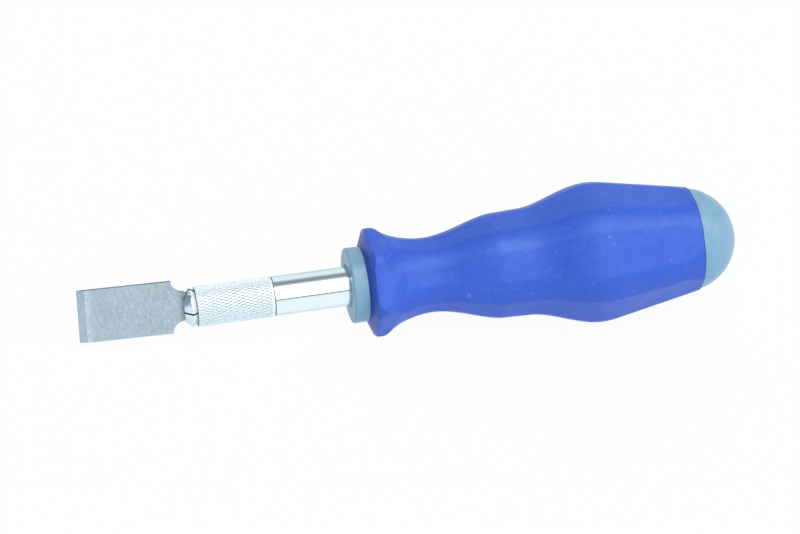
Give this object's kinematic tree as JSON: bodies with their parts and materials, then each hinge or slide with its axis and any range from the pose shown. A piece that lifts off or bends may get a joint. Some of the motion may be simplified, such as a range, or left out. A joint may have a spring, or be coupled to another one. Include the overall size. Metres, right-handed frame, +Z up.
{
  "type": "chisel blade scraper",
  "caption": "Screwdriver-type scraper: a chisel blade held in a draw-in collet by a knurled sleeve, on a bright shank in a contoured six-sided plastic handle with a ferrule and domed end cap.",
  "frame": {"origin": "centre of the ferrule's front rim, on the tool's axis, where a tool rack bears", "axes": "+X along the tool towards the end cap, the blade at -X; +Z up, square to one of the grip's six faces; the blade stands on edge, turned 11.5 degrees from the XZ plane as pictured"},
  "size_m": [0.1534, 0.0324, 0.0308],
  "materials": {
    "blade_steel": "ground steel, bare",
    "collet_steel": "nickel plated",
    "sleeve_chrome": "knurled, bright plated",
    "shank_chrome": "polished",
    "grey_plastic": "satin",
    "core_plastic": "as moulded",
    "blue_plastic": "satin",
    "zinc_steel": "zinc plated"
  },
  "bodies": {
    "handle": {"shank": "shank_chrome", "ferrule": "grey_plastic", "handle_core": "core_plastic", "grip": "blue_plastic", "end_cap": "grey_plastic", "shank_washer": "zinc_steel", "shank_nut": "zinc_steel"},
    "sleeve": {"clamping_sleeve": "sleeve_chrome"},
    "collet": {"collet": "collet_steel"},
    "blade": {"scraper_blade": "blade_steel"}
  },
  "joints": [
    {"name": "sleeve_turn", "type": "hinge", "parent": "handle", "child": "sleeve", "pos_m": [-0.0265, 0, 0], "axis": [-1, 0, 0], "range_deg": [0, 720]},
    {"name": "collet_draw", "type": "slide", "parent": "sleeve", "child": "collet", "axis": [-1, 0, 0], "range_m": [0, 0.0016]},
    {"name": "blade_pull", "type": "slide", "parent": "collet", "child": "blade", "axis": [-1, 0, 0], "range_m": [0, 0.025]}
  ],
  "couplings": [
    {"joint": "collet_draw", "follows": "sleeve_turn", "m_per_rad": 0.0001273}
  ]
}
